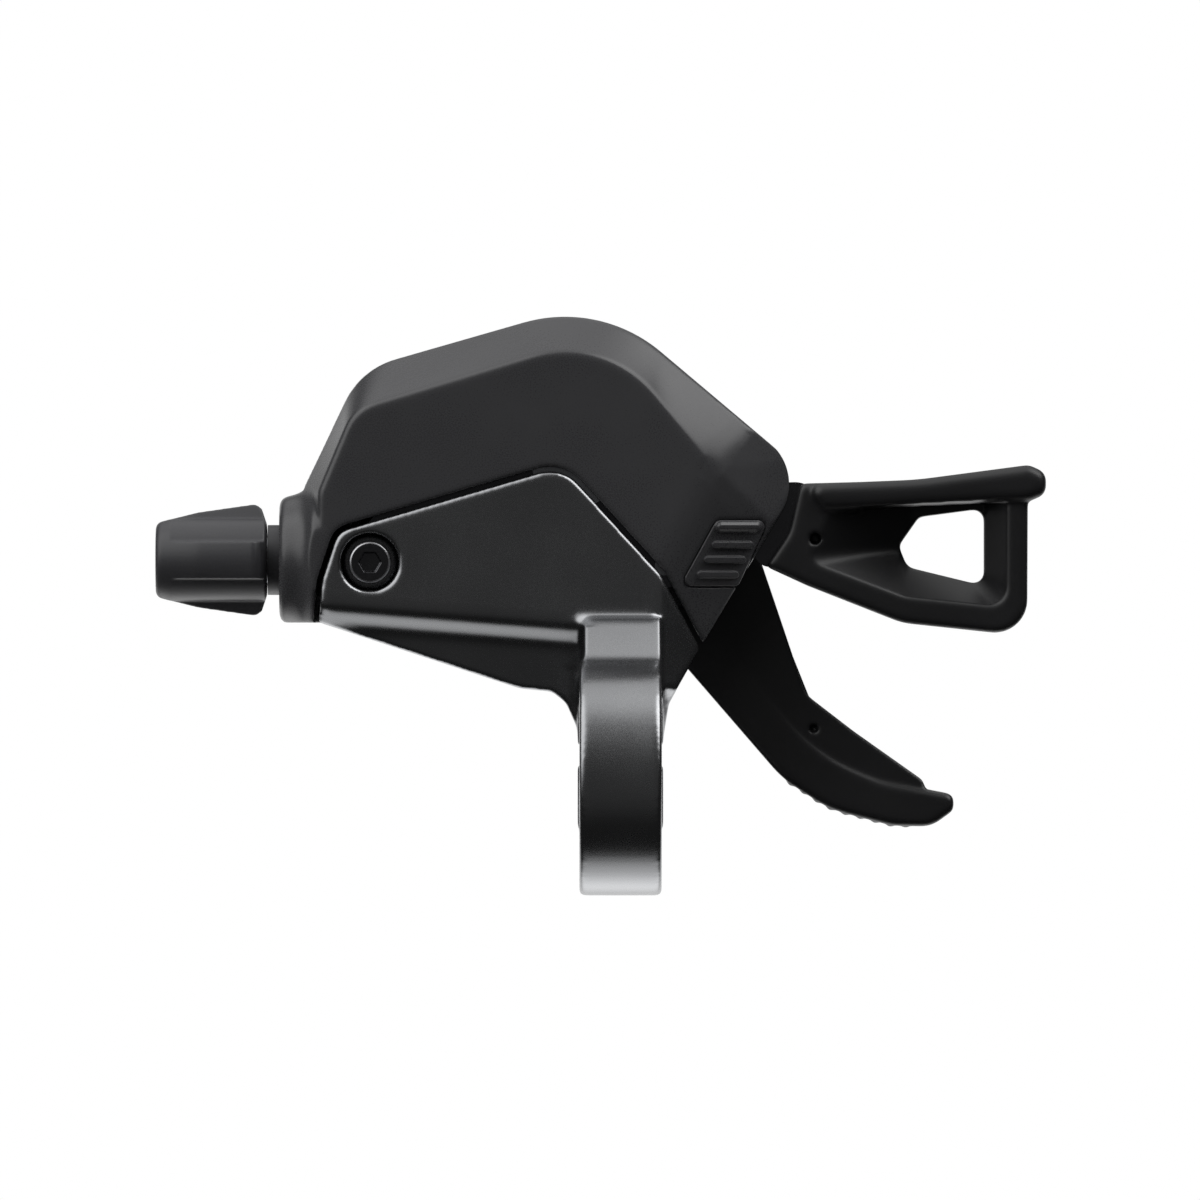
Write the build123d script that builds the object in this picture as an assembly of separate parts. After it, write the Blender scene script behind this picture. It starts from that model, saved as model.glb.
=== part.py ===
"""Trigger gear shifter for the right-hand side of a flat handlebar, in millimetres.

Frame: the origin is the centre of the handlebar clamp. +X runs along the handlebar towards the grip,
+Z points away from the handlebar towards the top of the housing, and +Y points away from the rider's
eye, so the mechanism is stacked along +Y on one main axle. Outlines are drawn as (x, z) pairs.
"""
from build123d import *
import math
import os

# Handlebar clamp
bar_diameter = 22.2
band_thickness = 4.0
band_width = 10.5
band_edge_radius = 0.5
clamp_gap = 2.5
clamp_gap_top = 4.0
lug_width = 11.0
lug_reach = 9.0
upper_lug_height = 9.0
lower_lug_height = 8.0
lug_root = 8.0
lug_corner_radius = 4.0
ramp_start_angle = 80.0
ramp_rise = 5.6
ramp_toe_angle = 20.0
ramp_foot_radius = 1.6
ramp_side_inset = 0.6
ramp_side_radius = 1.8

# Clamp bolt with a square nut, and the screw that holds the bracket
clamp_bolt_diameter = 5.0
clamp_bolt_head_diameter = 8.4
clamp_bolt_head_height = 5.0
clamp_bolt_socket = 4.0
clamp_bolt_sink = 3.5
clamp_bolt_clearance = 0.25
clamp_nut_width = 8.0
clamp_nut_height = 4.0
bracket_screw_at = (-32.1, 27.5)
bracket_screw_diameter = 3.0
bracket_screw_head_diameter = 5.5
bracket_screw_head_height = 2.4
bracket_screw_socket = 2.5
bracket_screw_well_diameter = 7.4
bracket_screw_well_depth = 3.0

# Bracket plate and its sloping lower flank
plate_front = 4.6
plate_thickness = 4.4
skirt_depth = 13.0
skirt_wall = 3.0
neck_top = (1.5, 16.4)
neck_relief = 1.5
step_run = 2.4
step_depth = 2.9
step_radius = 1.4
flank_angle = 14.0
end_flank_angle = 35.0
plate_corner = (-36.2, 31.4)
plate_corner_radius = 2.6
plate_peak = (-7.5, 39.8)
plate_peak_radius = 5.0

# Housing: front cover with a slanted rim and a tilted end facet, and a rear cover
cover_face = 5.0
cover_depth = 8.6
cover_rim_depth = 5.4
cover_rim_tilt = 4.4
cover_wall = 1.8
cover_edge_radius = 0.9
cover_gap = 0.6
stud_radius = 1.2
stud_ring_radius = 9.6
stud_angles = (35.0, 90.0, 145.0)
facet_angle = 24.0
facet_crease_radius = 9.0
rear_cover_back = 27.0
rear_cover_inset = 0.5
rear_cover_edge = 1.6
rear_screw_diameter = 2.5
rear_screw_head_diameter = 4.6
rear_screw_head_height = 1.6
nut_window_radius = 7.2

# Cable adjuster on the inboard end
boss_face = -43.8
boss_end = -36.0
boss_radius = 7.9
boss_neck_radius = 8.7
boss_flare_radius = 10.6
boss_flare_start = 3.0
boss_flare_length = 4.4
boss_rim_radius = 1.2
knob_outer_end = -59.7
knob_length = 14.3
knob_small_radius = 4.75
knob_middle_radius = 6.2
knob_large_radius = 7.35
knob_end_radius = 6.7
knob_middle_at = 5.4
knob_taper_length = 1.5
knob_rim_length = 0.7
knob_corner_radius = 1.0
knob_bulge_radius = 12.0
flute_start = 1.8
knob_core_radius = 5.25
knob_rib_count = 3
knob_rib_width = 4.8
casing_bore_radius = 2.6
casing_bore_depth = 10.0
cable_bore_radius = 1.1
stem_radius = 3.0
stem_end = -34.5
stem_seat_depth = 2.0
insert_radius = 4.2
sleeve_radius = 4.5
sleeve_length = 4.6
sleeve_bore_depth = 4.8

# Mechanism on the main axle
axle_at = (-5.8, 39.9)
axle_radius = 4.0
axle_thread_radius = 3.0
axle_head_radius = 5.5
axle_head_thickness = 1.2
running_clearance = 0.05
base_plate_thickness = 1.5
spacer_thickness = 0.5
spacer_radius = 6.5
ratchet_thickness = 1.6
ratchet_tip_radius = 13.2
ratchet_root_radius = 11.7
ratchet_tooth_count = 11
ratchet_tooth_pitch = 16.0
ratchet_first_tooth = 150.0
drum_thickness = 4.6
drum_flange_radius = 13.3
cable_wrap_radius = 12.1
cable_groove_radius = 0.8
nipple_radius = 2.1
spring_well_radius = 9.8
spring_well_depth = 3.0
spring_strip = 0.5
rear_plate_thickness = 1.2
nut_width = 10.0
nut_height = 3.0
washer_thickness = 0.8
washer_radius = 6.2
post_radius = 2.4
post_clearance = 0.5
post_angles = (178.0, 224.0)

# Pawls
pawl_pin_radius = 1.2
pawl_clearance = 0.3
holding_pawl_angle = -48.5
drive_pawl_angle = -45.0
pawl_ring_radius = 17.2
pawl_eye_radius = 2.3
pawl_nose_radius = 0.7
pawl_tail_radius = 1.0
holding_tail_offset = (2.4, 2.6)
drive_tail_offset = (2.2, -1.6)

# Thumb lever
arm_thickness = 2.0
arm_hub_radius = 7.5
thumb_web_thickness = 3.4
thumb_pad_step = 0.7
thumb_pad_depth = 11.2
thumb_pad_root = (14.0, 16.2)
thumb_pad_tip = (42.9, -4.4)
thumb_base_radius = 22.5
thumb_pad_clear_radius = 29.4
grip_rib_radius = 0.55
grip_rib_count = 9
thumb_pad_edge_radius = 0.9
thumb_knee = (14.6, 21.0)
thumb_arm_end = (23.4, 7.6)
thumb_hole_at = (24.9, 6.1)
thumb_hole_radius = 0.55
thumb_spring_radius = 8.2

# Release lever
release_pivot_offset = (16.2, -5.7)
release_pin_radius = 1.5
release_pin_length = 7.3
release_arm_half_height = 3.2
cam_finger_offset = (1.0, -4.6)
cam_finger_radius = 1.2
release_paddle_front = 8.2
release_paddle_depth = 9.2
release_frame_inset = 1.1
release_frame_depth = 7.0
pocket_depth = 5.5
rivet_hole_radius = 0.75
rivet_hole_depth = 2.0
rivet_hole_at = (25.0, 30.5)
release_arm_end = (27.6, 31.6)
release_lobe_at = (19.2, 28.9)
release_lobe_radius = 2.0
release_edge_radius = 0.8
finger_bar_edge_radius = 1.4
clip_groove_radius = 1.1
release_spring_radius = 2.3

# Longer than the whole part, for cuts that run right through it
far = 200.0

# Places that follow from the sizes above, from the rider's side to the far side
bore_radius = bar_diameter / 2
band_radius = bore_radius + band_thickness
bracket_back = plate_front + plate_thickness
cover_back = cover_face + cover_depth
base_plate_front = bracket_back
base_plate_back = base_plate_front + base_plate_thickness
hold_ratchet_front = base_plate_back + spacer_thickness
drum_front = hold_ratchet_front + ratchet_thickness
drum_back = drum_front + drum_thickness
drive_ratchet_back = drum_back + ratchet_thickness
arm_front = drive_ratchet_back + spacer_thickness
arm_back = arm_front + arm_thickness
rear_plate_front = arm_back + spacer_thickness
rear_plate_back = rear_plate_front + rear_plate_thickness
nut_front = rear_plate_back + washer_thickness
nut_back = nut_front + nut_height
cable_level = (drum_front + drum_back) / 2
axle_x, axle_z = axle_at
adjuster_height = axle_z - cable_wrap_radius
post_ring_radius = drum_flange_radius + post_clearance + post_radius
release_pivot = (axle_x + release_pivot_offset[0], axle_z + release_pivot_offset[1])
thumb_spring_leg = (axle_x + thumb_spring_radius, axle_z)
release_spring_leg = (release_pivot[0] + release_spring_radius, release_pivot[1])
release_arm_front = hold_ratchet_front + 1.1
release_arm_back = release_arm_front + arm_thickness
thumb_web_front = (arm_front + arm_back - thumb_web_thickness) / 2
thumb_web_back = thumb_web_front + thumb_web_thickness
thumb_pad_front = thumb_web_front - thumb_pad_step
knob_back = knob_outer_end + knob_length
lug_middle = band_radius + 4.0
lug_end = band_radius + lug_reach
lower_lug_foot = clamp_gap_top - clamp_gap - lower_lug_height
bolt_seat = lower_lug_foot + clamp_bolt_sink
clamp_nut_middle = clamp_gap_top + upper_lug_height / 2

# Housing outlines: the widest line of the front cover, and the narrower rim of its front face
end_outline = [(-60.0, 19.75), (-60.0, 75.2), (-19.0, 75.2), (23.7, 39.0), (10.3, 16.6)]
end_radii = [0, 0, 0, 6.9, 0]
rear_outline = [(-35.7, 19.6), (-35.7, 47.2), (-33.3, 52.2), (-2.6, 61.1), (23.6, 38.9), (10.3, 16.6),
                (6.5, 14.4), (-13.0, 14.0)]
rear_radii = [3.0, 3.0, 5.0, 19.1, 6.9, 3.0, 4.0, 6.0]
lever_opening = [(18.0, 38.4), (30.0, 38.4), (30.0, 8.0), (4.0, 8.0), (6.0, 18.4)]
slant_back = [(-40.8, 4.0), (-40.8, 36.9), (-33.4, 52.3), (-2.6, 61.1), (30.7, 33.0), (30.7, 4.0)]
slant_front = [(-38.6, 4.0), (-38.6, 36.4), (-34.3, 46.9), (-1.8, 56.7), (15.3, 35.0), (15.3, 4.0)]
slant_back_radii = [0, 3.0, 10.2, 19.1, 0, 0]
slant_front_radii = [0, 3.0, 5.6, 15.0, 0, 0]
crease_top = (11.7, 39.0)
crease_foot = (4.9, 26.4)
bracket_outline = [(-38.7, 19.8), (-38.3, 25.0), plate_corner, plate_peak, (5.1, 26.0), (10.2, 16.5),
                   (7.6, 11.9), (6.2, 9.3), (5.4, 4.2), (-5.4, 4.2), (-5.6, 6.3), (-7.0, 9.5),
                   (-8.8, 10.9), (-12.9, 11.3)]
bracket_radii = [0, 0, plate_corner_radius, plate_peak_radius, 0, 0, 4.0, 0, 0, 0, 0, 2.0, 1.2, 6.0]
fold_line = ((-38.7, 21.9), (-5.8, 19.3))
cap_outline = [(12.3, 32.9), (19.0, 32.9), (15.1, 24.4), (7.6, 24.4)]
cap_rise = 0.25
cap_corner_radius = 0.9
cap_bar_outline = [(12.6, 32.7), (18.6, 32.7), (17.9, 31.3), (11.7, 31.3)]
cap_bar_height = 0.9
cap_bar_radius = 0.65
cap_rib_ends = [(17.1, 29.7), (16.1, 27.8), (15.2, 25.9)]
cap_rib_height = 0.5
cap_rib_length = 5.3
cap_rib_width = 0.8

# Lever outlines
thumb_outline = [(14.6, 38.0), (23.9, 10.5), (30.0, 5.8), (38.9, -0.5), (39.6, -2.4), (42.9, -2.4),
                 thumb_pad_tip, (40.0, -6.5), (35.0, -6.4), (27.0, -4.3), (20.9, -0.35), (2.8, 20.6),
                 (2.8, 38.0)]
thumb_radii = [0, 3.5, 20.0, 1.5, 0, 1.0, 1.2, 4.0, 10.0, 14.0, 14.0, 0, 0]
thumb_pad_outline = [(13.0, 18.0), (25.4, 3.0), (33.6, -0.6), (42.9, -2.4), thumb_pad_tip, (40.0, -6.5),
                     (35.0, -6.4), (27.0, -4.3), (20.9, -0.35), (5.2, 17.8)]
thumb_pad_radii = [0, 24.0, 14.0, 1.0, 1.2, 4.0, 10.0, 14.0, 14.0, 0]
grip_start = 5
grip_end = 9
grip_bend_radius = 10.0
release_outline = [(23.0, 37.6), (52.3, 38.4), (52.2, 18.0), (36.2, 19.7), (24.0, 24.5), (18.6, 27.0),
                   (21.6, 31.4)]
release_radii = [1.0, 0, 4.2, 9.0, 8.0, 0.5, 5.0]
finger_bar_outline = [(23.2, 37.5), (38.0, 38.1), (52.4, 40.0), (54.6, 39.0), (54.6, 36.2), (52.4, 35.3),
                      (26.0, 34.0)]
finger_bar_radii = [1.2, 40.0, 1.6, 1.6, 1.6, 0.8, 1.2]
pocket_rim = [(26.7, 33.9), (49.7, 35.4), (49.7, 21.6), (36.4, 22.9), (23.8, 27.6)]
pocket_rim_radii = [1.5, 1.2, 2.4, 5.0, 1.5]
window_outline = [(38.4, 33.3), (46.7, 34.4), (46.7, 24.5), (36.9, 26.9), (35.8, 29.6)]
window_radii = [1.0, 1.3, 1.3, 1.6, 1.0]


def outline(points, radii):
    """A flat face with a rounded corner at each point that has a radius."""
    return make_face(FilletPolyline(*points, radius=radii, close=True))


def at_depth(face, depth):
    """Stands a flat (x, z) face up at one depth along Y, facing the rider."""
    return Plane.XZ.offset(-depth) * face


def slab(face, front, back):
    """A flat (x, z) face given thickness, from its front depth to its back depth."""
    return extrude(at_depth(face, back), amount=back - front)


def disc(centre, radius, front, back):
    """A round disc or pin along Y."""
    return slab(Pos(*centre) * Circle(radius), front, back)


def hole(centre, radius):
    """A round cut along Y through everything."""
    return disc(centre, radius, -far, far)


def ring(centre, outer, inner, front, back):
    """A disc with a round hole."""
    return slab(Pos(*centre) * Circle(outer) - Pos(*centre) * Circle(inner), front, back)


def along_x(radius, start, end, depth, height):
    """A round bar along X between two x values."""
    bar = Plane(origin=(start, depth, height), x_dir=(0, 1, 0), z_dir=(1, 0, 0)) * Circle(radius)
    return extrude(bar, amount=end - start)


def hexagon(centre, across_flats, front, back):
    """A hexagonal bar along Y."""
    return slab(Pos(*centre) * RegularPolygon(across_flats / 2, 6, major_radius=False), front, back)


def around_axle(radius, angle):
    """The point at a radius and an angle from the main axle, counted from +X towards +Z."""
    turn = math.radians(angle)
    return (axle_x + radius * math.cos(turn), axle_z + radius * math.sin(turn))


holding_pawl_at = around_axle(pawl_ring_radius, holding_pawl_angle)
drive_pawl_at = around_axle(pawl_ring_radius, drive_pawl_angle)


def hull_of(*rounds):
    """The outline that a tight string draws around several (centre, radius) circles."""
    circles = [Pos(*centre) * Circle(radius) for centre, radius in rounds]
    return make_hull([edge for circle in circles for edge in circle.edges()])


def crease_frame(inset):
    """The crease between front face and end facet: its plane looks along the crease, x across it."""
    run = Vector(crease_foot[0] - crease_top[0], 0, crease_foot[1] - crease_top[1]).normalized()
    across = Vector(-run.Z, 0, run.X)
    return Plane(origin=(crease_top[0], cover_face + inset, crease_top[1]), x_dir=across, z_dir=run)


def behind_face(inset):
    """Everything behind the cover's front face and its tilted facet, both moved in by inset."""
    drop = far * math.tan(math.radians(facet_angle))
    shift = inset * math.tan(math.radians(facet_angle / 2))
    frame = crease_frame(inset)
    side = 1 if frame.y_dir.Y > 0 else -1
    corners = [(-far, 0), (-shift, 0), (far, side * (drop + shift)), (far, side * far), (-far, side * far)]
    profile = outline(corners, [0, facet_crease_radius, 0, 0, 0])
    return extrude(frame * profile, amount=far, both=True)


def cover_form(inset):
    """The closed outer form of the front cover, moved in by inset on every side but its open back."""
    front = offset(outline(slant_front, slant_front_radii), -inset)
    back = offset(outline(slant_back, slant_back_radii), -inset)
    tilt = math.radians(cover_rim_tilt)
    rim = Plane(origin=(0, cover_face + cover_rim_depth, 0), x_dir=(math.cos(tilt), -math.sin(tilt), 0),
                z_dir=(math.sin(tilt), math.cos(tilt), 0))
    walls = split(slab(back, cover_face - 4, cover_back), bisect_by=rim, keep=Keep.TOP)
    widest = walls.faces().filter_by(rim).sort_by(Axis.Y)[0]
    slanted = loft([at_depth(front.face(), cover_face), widest], ruled=True)
    ends = slab(offset(outline(end_outline, end_radii), -inset), cover_face - 2, cover_back + 2)
    return (slanted + walls) & ends & behind_face(inset)


def boss_form():
    """The round boss of the cable adjuster, which flares into the housing; it is flat below."""
    corners = [(boss_face, 0), (boss_face, boss_radius), (boss_face + boss_flare_start, boss_neck_radius),
               (boss_face + boss_flare_length, boss_flare_radius), (boss_end, boss_flare_radius),
               (boss_end, 0)]
    profile = outline(corners, [0, boss_rim_radius, boss_flare_start, 0, 0, 0])
    plane = Plane(origin=(0, cable_level, adjuster_height), x_dir=(1, 0, 0), z_dir=(0, -1, 0))
    boss = revolve(plane * profile, axis=Axis((0, cable_level, adjuster_height), (1, 0, 0)))
    wall = Pos(boss_end, (base_plate_back + cover_back) / 2, adjuster_height) * Box(
        2 * cover_wall, cover_back - base_plate_back, 2 * boss_flare_radius)
    boss += wall - along_x(stem_radius + cover_gap, -far, far, cable_level, adjuster_height)
    return boss & Pos(0, cover_face + far / 2, end_outline[0][1] + far / 2) * Box(far, far, far)


def bracket_face():
    """The outline of the bracket as the rider sees it, without the clamp band."""
    return outline(bracket_outline, bracket_radii)


def skirt_face():
    """The strip along the lower edge and the neck of the bracket, which reach further back than the plate."""
    strip = bracket_face() - Pos(0, skirt_wall) * bracket_face()
    neck = bracket_face() & Pos(neck_top[0], neck_top[1] - 20) * Rectangle(30, 40)
    return strip + neck


def flank_cut(start, end, below, steps, radii):
    """Everything in front of a flank, which starts at a line on the plate; its steps are (out, back)."""
    run = Vector(end[0] - start[0], 0, end[1] - start[1]).normalized()
    out = (-run.Z * below, 0, run.X * below)
    frame = Plane(origin=(start[0], plate_front, start[1]), x_dir=out, z_dir=run)
    side = 1 if frame.y_dir.Y > 0 else -1
    corners = [(-step_radius, 0), (0, 0)] + list(steps) + [(far, -far), (-step_radius, -far)]
    profile = outline([(x, side * back) for x, back in corners], [0] + radii + [0, 0])
    return extrude(frame * profile, amount=far, both=True)


def bracket():
    """Cast bracket: plate, sloping flanks, ramp, clamp band and the two lugs of the clamp bolt."""
    plate = slab(bracket_face(), plate_front, bracket_back) + slab(skirt_face(), plate_front, skirt_depth)
    flank_drop = (far, step_depth + far * math.tan(math.radians(flank_angle)))
    left_half = Pos(-far / 2, 0, 0) * Box(far, far, far)
    lower = flank_cut(*fold_line, -1, [(step_run, step_depth), flank_drop], [step_radius, step_radius, 0])
    plate -= lower & left_half
    end_drop = (far, far * math.tan(math.radians(end_flank_angle)))
    plate -= flank_cut((band_width / 2, far), (band_width / 2, 0), 1, [end_drop], [0, 0])
    ramp_foot = band_radius * math.sin(math.radians(ramp_start_angle))
    ramp_front = -band_radius * math.cos(math.radians(ramp_start_angle))
    ramp_top = ramp_foot + ramp_rise
    toe = math.radians(ramp_start_angle - ramp_toe_angle)
    ramp_toe = (-band_radius * math.cos(toe), band_radius * math.sin(toe))
    profile = [ramp_toe, (ramp_front, ramp_foot), (plate_front, ramp_top), (bracket_back, ramp_top),
               (bracket_back, bore_radius - band_thickness), (ramp_toe[0], bore_radius - band_thickness)]
    profile_radii = [0, ramp_foot_radius, 0, 0, 0, 0]
    ramp_side = ramp_side_inset - band_width / 2
    across = Plane(origin=(ramp_side, 0, 0), x_dir=(0, 1, 0), z_dir=(1, 0, 0))
    ramp_face = across * outline(profile, profile_radii)
    body = plate + extrude(ramp_face, amount=band_width - ramp_side_inset)
    near = ramp_side_radius * (1 - math.sqrt(0.5))
    wide = ramp_side_radius - near
    under_ramp = extrude(ramp_face, amount=-ramp_side_radius)
    for start, forward, run, out in ((ramp_side_radius, 0, wide, near), (near, near, near, wide)):
        sliced = section(plate, section_by=Plane(origin=(ramp_side - start, 0, 0), z_dir=(1, 0, 0)))
        flat = extrude(Pos(0, -forward, 0) * sliced, amount=math.hypot(run, out), dir=(run, -out, 0))
        body += flat & under_ramp
    band = along_x(band_radius, -band_width / 2, band_width / 2, 0, 0)
    band = fillet(band.edges().filter_by(GeomType.CIRCLE), band_edge_radius)
    half = lug_width / 2
    lug_face = outline([(-half, lug_root), (half, lug_root), (half, lug_end), (-half, lug_end)],
                       [0, 0, lug_corner_radius, lug_corner_radius])
    lugs = extrude(Plane.XY.offset(clamp_gap_top) * lug_face, amount=upper_lug_height)
    lugs += extrude(Plane.XY.offset(lower_lug_foot) * lug_face, amount=lower_lug_height)
    body += band + lugs
    body -= along_x(bore_radius, -far, far, 0, 0)
    body -= along_x(bore_radius + neck_relief, lug_width / 2, far, 0, 0)
    body -= Pos(0, far / 2, clamp_gap_top - clamp_gap / 2) * Box(far, far, clamp_gap)
    body -= Pos(0, lug_middle, 0) * Cylinder(clamp_bolt_diameter / 2 + clamp_bolt_clearance, far)
    body -= Pos(0, lug_middle, bolt_seat - far / 2) * Cylinder(clamp_bolt_head_diameter / 2 + 0.2, far)
    nut_slot = Box(clamp_nut_width, far, clamp_nut_height)
    body -= Pos(0, lug_middle + (far - clamp_nut_width) / 2, clamp_nut_middle) * nut_slot
    well_floor = plate_front + bracket_screw_well_depth
    body -= disc(bracket_screw_at, bracket_screw_well_diameter / 2, -far, well_floor)
    body -= hole(bracket_screw_at, bracket_screw_diameter / 2 + 0.2)
    body -= along_x(insert_radius + cover_gap, boss_face, boss_end + cover_gap, cable_level, adjuster_height)
    body -= disc(axle_at, axle_head_radius + 0.3, bracket_back - axle_head_thickness - 0.3, bracket_back + 1)
    return body


def clamp_bolt():
    """Socket head bolt that closes the clamp band, head towards the underside."""
    head = Pos(0, lug_middle, bolt_seat - clamp_bolt_head_height / 2) * Cylinder(
        clamp_bolt_head_diameter / 2, clamp_bolt_head_height)
    rim = head.edges().filter_by(GeomType.CIRCLE).sort_by(Axis.Z)[0]
    head = chamfer(rim, 0.4)
    length = clamp_gap_top + upper_lug_height - 0.8 - bolt_seat
    shank = Pos(0, lug_middle, bolt_seat + length / 2) * Cylinder(clamp_bolt_diameter / 2, length)
    socket = Plane.XY.offset(bolt_seat - clamp_bolt_head_height) * Pos(0, lug_middle) * RegularPolygon(
        clamp_bolt_socket / 2, 6, major_radius=False)
    return head + shank - extrude(socket, amount=clamp_bolt_head_height * 0.55)


def clamp_nut():
    """Square nut held in the upper lug."""
    nut = Pos(0, lug_middle, clamp_nut_middle) * Box(clamp_nut_width, clamp_nut_width, clamp_nut_height)
    return nut - Pos(0, lug_middle, 0) * Cylinder(clamp_bolt_diameter / 2, far)


def bracket_screw():
    """Small socket head screw that ties the bracket to the base plate."""
    seat = plate_front + bracket_screw_well_depth
    head = disc(bracket_screw_at, bracket_screw_head_diameter / 2, seat - bracket_screw_head_height, seat)
    rim = head.edges().filter_by(GeomType.CIRCLE).sort_by(Axis.Y)[0]
    head = chamfer(rim, 0.25)
    shank = disc(bracket_screw_at, bracket_screw_diameter / 2, seat, base_plate_back + 0.6)
    front = seat - bracket_screw_head_height
    return head + shank - hexagon(bracket_screw_at, bracket_screw_socket, front - 1, front + 1.5)


def front_cover():
    """Front cover: slanted rim, tilted end facet, adjuster boss and the opening for the bracket."""
    shell = cover_form(0)
    towards_rider = shell.faces().filter_by(lambda face: face.normal_at(face.center()).Y < -0.85)
    edges = ShapeList([edge for face in towards_rider for edge in face.edges()])
    shared = [edge for edge in edges if sum(edge.center() == other.center() for other in edges) > 1]
    rim = [edge for edge in edges if edge not in shared and edge.center().Z > end_outline[0][1] + 1]
    shell = fillet(rim, cover_edge_radius) - cover_form(cover_wall) + boss_form()
    opening = outline([(-38.7, 0)] + bracket_outline[:6] + [(10.2, 0)], [0] + bracket_radii[:6] + [0])
    shell -= slab(offset(opening, cover_gap), 0, bracket_back + cover_gap)
    right_of_boss = Pos(boss_end + cover_gap / 2 + far / 2, 0, 0) * Box(far, far, far)
    shell -= slab(offset(opening, cover_gap), 0, cover_back + 5) & right_of_boss
    shell -= slab(offset(skirt_face(), cover_gap), 0, skirt_depth + cover_gap)
    shell -= behind_face(cover_wall) & slab(outline(lever_opening, [0] * 5), 0, cover_back + 1)
    shell -= slab(outline(cap_outline, [cap_corner_radius] * 4), 0, cover_back)
    for angle in stud_angles:
        place = around_axle(stud_ring_radius, angle)
        shell += disc(place, stud_radius + 0.8, cover_face + cover_wall / 2, base_plate_front)
        shell += disc(place, stud_radius, base_plate_front, base_plate_back)
    bore_end = boss_face + sleeve_bore_depth
    bore_radius_here = sleeve_radius + running_clearance
    shell -= along_x(bore_radius_here, boss_face - 5, bore_end, cable_level, adjuster_height)
    shell -= along_x(insert_radius, boss_face, boss_end + 5, cable_level, adjuster_height)
    return shell


def cable_port_cap():
    """Ribbed plug in the end facet, over the port where a new cable goes in."""
    cap = slab(outline(cap_outline, [cap_corner_radius] * 4), 0, cover_back) & behind_face(-cap_rise)
    cap = chamfer(cap.faces().sort_by(Axis.Y)[0].edges(), cap_rise * 0.6)
    bar = slab(outline(cap_bar_outline, [cap_bar_radius] * 4), 0, cover_back) & behind_face(-cap_bar_height)
    cap += chamfer(bar.faces().sort_by(Axis.Y)[0].edges(), cap_bar_height * 0.5)
    for end in cap_rib_ends:
        middle = (end[0] - cap_rib_length / 2, end[1])
        rib = slab(Pos(*middle) * SlotOverall(cap_rib_length, cap_rib_width), 0, cover_back)
        cap += rib & behind_face(-cap_rise - cap_rib_height)
    return cap - behind_face(cover_wall)


def rear_cover():
    """Rear cover: closes the housing from behind and leaves the lever side open."""
    form = offset(outline(rear_outline, rear_radii), -rear_cover_inset)
    front = cover_back + 0.2
    shell = slab(form, front, rear_cover_back)
    rim = shell.faces().sort_by(Axis.Y)[-1].edges()
    shell = chamfer(rim, rear_cover_edge)
    shell -= slab(offset(form, -cover_wall), front - 1, rear_cover_back - cover_wall)
    wedge = [axle_at, around_axle(far, 30), around_axle(far, -20), around_axle(far, -72)]
    shell -= slab(outline(wedge, [0] * 4), front - 1, thumb_web_back + 0.5)
    for angle in post_angles:
        place = around_axle(post_ring_radius, angle)
        shell += disc(place, 3.0, rear_plate_back, rear_cover_back - 1)
        shell -= disc(place, rear_screw_diameter / 2, rear_plate_back - 1, rear_cover_back + 1)
        shell -= disc(place, rear_screw_head_diameter / 2 + 0.2, rear_cover_back - 0.6, rear_cover_back + 1)
    shell -= disc(axle_at, nut_window_radius, rear_cover_back - cover_wall - 1, rear_cover_back + 1)
    shell -= along_x(stem_radius + 0.6, boss_end - 1, boss_end + 6, cable_level, adjuster_height)
    return shell


def rear_cover_screws():
    """Two pan head screws through the rear cover into the spacer posts."""
    screws = Part()
    seat = rear_cover_back - 0.6
    for angle in post_angles:
        place = around_axle(post_ring_radius, angle)
        head = disc(place, rear_screw_head_diameter / 2, seat, seat + rear_screw_head_height)
        rim = head.edges().filter_by(GeomType.CIRCLE).sort_by(Axis.Y)[-1]
        screw = fillet(rim, 0.7) + disc(place, rear_screw_diameter / 2, rear_plate_front - 3, seat)
        slot = Rot(0, 0, 30) * Rectangle(3.2, 0.7) + Rot(0, 0, 120) * Rectangle(3.2, 0.7)
        screws += screw - slab(Pos(*place) * slot, seat + 0.5, seat + 5)
    return screws


def base_plate():
    """Steel plate behind the bracket that carries the axle, the pins and the posts."""
    posts = [(around_axle(post_ring_radius, angle), 2.6) for angle in post_angles]
    pins = [(release_pivot, 2.8), (holding_pawl_at, 2.8)]
    face = hull_of((axle_at, 12.6), (bracket_screw_at, 3.5), *pins, *posts)
    plate = slab(face, base_plate_front, base_plate_back)
    plate -= hole(axle_at, axle_radius)
    plate -= hole(bracket_screw_at, bracket_screw_diameter / 2)
    plate -= hole(release_pivot, release_pin_radius)
    plate -= hole(holding_pawl_at, pawl_pin_radius)
    for angle in stud_angles:
        plate -= hole(around_axle(stud_ring_radius, angle), stud_radius)
    return plate


def rear_plate():
    """Thin steel plate that ties the far end of the axle to the posts."""
    posts = [(around_axle(post_ring_radius, angle), 2.4) for angle in post_angles]
    plate = slab(hull_of((axle_at, 9.0), *posts), rear_plate_front, rear_plate_back)
    plate -= hole(axle_at, axle_thread_radius)
    plate -= hole(thumb_spring_leg, 0.4)
    for angle in post_angles:
        plate -= hole(around_axle(post_ring_radius, angle), rear_screw_diameter / 2)
    return plate


def spacer_posts():
    """Two posts between the base plate and the rear plate, tapped for the cover screws."""
    posts = Part()
    for angle in post_angles:
        place = around_axle(post_ring_radius, angle)
        post = disc(place, post_radius, base_plate_back, rear_plate_front)
        posts += post - disc(place, rear_screw_diameter / 2, rear_plate_front - 3, rear_plate_front + 1)
    return posts


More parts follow.
